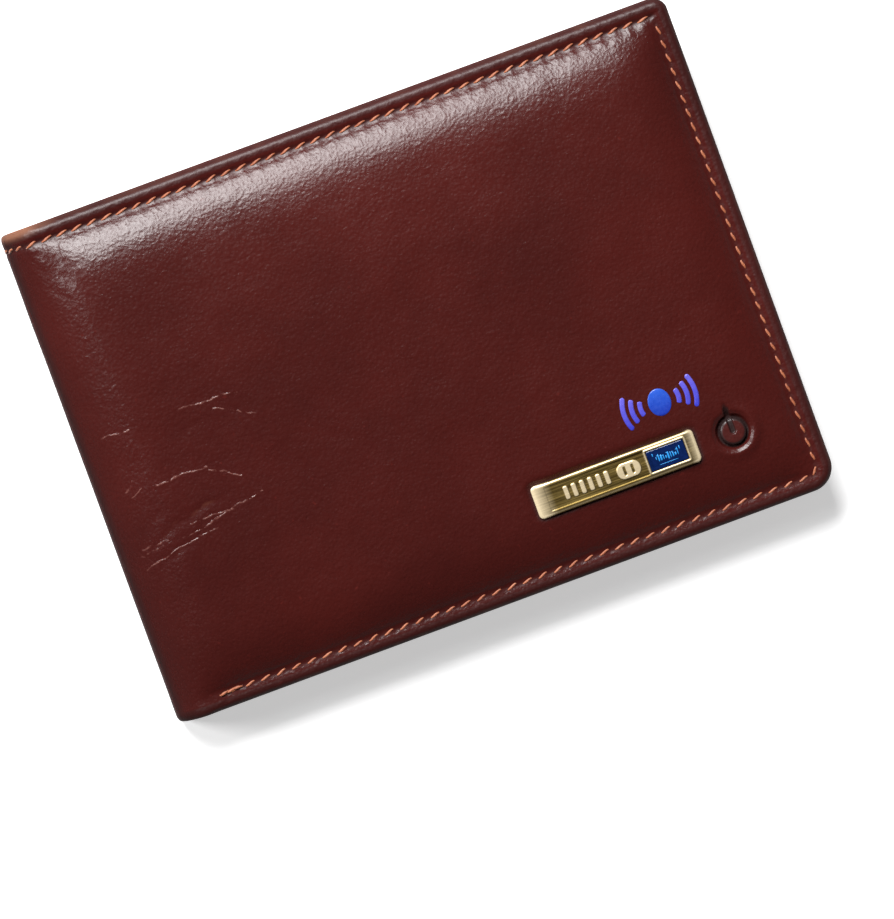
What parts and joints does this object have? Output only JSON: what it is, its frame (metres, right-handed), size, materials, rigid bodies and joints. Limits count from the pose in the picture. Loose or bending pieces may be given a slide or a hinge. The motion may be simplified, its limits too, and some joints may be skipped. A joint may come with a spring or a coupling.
{
  "type": "bifold wallet with bluetooth tracker",
  "caption": "Closed bifold leather wallet that opens at two creases, with a tracker module, lit badge plate, sprung power button, card pockets and ID window.",
  "frame": {"origin": "middle of the closed wallet's footprint, on the outer face of the back cover", "axes": "+X from the spine to the opening edge, +Y from the bottom edge to the top edge where the bill compartment opens, +Z from the back cover to the front cover"},
  "size_m": [0.118, 0.087, 0.015],
  "materials": {
    "cover_leather": "glossy oxblood leather with a fine pebble grain",
    "inner_leather": "semi-gloss oxblood leather",
    "lining_fabric": "plain woven lining",
    "thread": "waxed polyester sewing thread, copper colour",
    "foam": "closed-cell foam",
    "clear_film": "clear flexible film",
    "badge_brass": "brushed antique brass",
    "blue_lens": "polished blue resin",
    "clear_acrylic": "clear acrylic",
    "led_package": "clear resin package",
    "black_plastic": "moulded ABS",
    "white_plastic": "moulded nylon",
    "board": "solder mask over glass epoxy",
    "chip": "moulded epoxy package",
    "ceramic": "fired ceramic",
    "steel": "plated steel",
    "sounder_brass": "bare sheet brass",
    "pouch": "laminated foil pouch",
    "wire_red": "wire insulation",
    "wire_black": "wire insulation",
    "tape": "polyimide tape"
  },
  "bodies": {
    "back_half": {"back_cover_leather": "cover_leather", "back_lining": "lining_fabric", "bill_divider_back": "inner_leather", "card_pocket_back_1": "inner_leather", "card_pocket_back_2": "inner_leather", "card_pocket_back_3": "inner_leather", "back_needle_thread": "thread", "back_bobbin_thread": "thread"},
    "spine": {"spine_leather": "cover_leather", "spine_lining": "lining_fabric", "spine_needle_thread": "thread", "bill_divider_fold": "inner_leather"},
    "front_half": {"front_cover_leather": "cover_leather", "front_foam_pad": "foam", "front_lining": "lining_fabric", "bill_divider_front": "inner_leather", "card_pocket_front": "inner_leather", "id_window_frame": "inner_leather", "id_window_film": "clear_film", "front_needle_thread": "thread", "front_bobbin_thread": "thread", "badge_plate": "badge_brass", "badge_clamp_plate": "steel", "badge_window": "blue_lens", "light_guide": "clear_acrylic", "module_case_bottom": "black_plastic", "module_case_top": "black_plastic", "main_circuit_board": "board", "bluetooth_chip": "chip", "crystal_oscillator": "steel", "charge_controller_chip": "chip", "chip_antenna": "ceramic", "battery_connector": "white_plastic", "tact_switch_body": "steel", "status_led_1": "led_package", "status_led_2": "led_package", "status_led_3": "led_package", "battery_cell": "pouch", "battery_adhesive_tape": "tape", "battery_lead_positive": "wire_red", "battery_lead_negative": "wire_black", "sounder_brass_disc": "sounder_brass", "sounder_ceramic": "ceramic", "charging_socket_shell": "steel", "charging_socket_tongue": "black_plastic"},
    "power_button": {"power_button_cap": "cover_leather", "power_button_plunger": "black_plastic"}
  },
  "joints": [
    {"name": "back_crease_fold", "type": "hinge", "parent": "back_half", "child": "spine", "pos_m": [-0.058, 0, 0.00085], "axis": [0, -1, 0], "range_deg": [0, 90], "deforming": ["bill_divider_fold"]},
    {"name": "front_crease_fold", "type": "hinge", "parent": "spine", "child": "front_half", "pos_m": [-0.05463, 0, 0.0108], "axis": [0, -1, 0], "range_deg": [0, 90], "deforming": ["bill_divider_fold"]},
    {"name": "power_button_press", "type": "slide", "parent": "front_half", "child": "power_button", "axis": [0, 0, -1], "range_m": [0, 0.0003], "stiffness_N_per_m": 4000}
  ],
  "couplings": [
    {"joint": "front_crease_fold", "follows": "back_crease_fold", "ratio": 1}
  ]
}
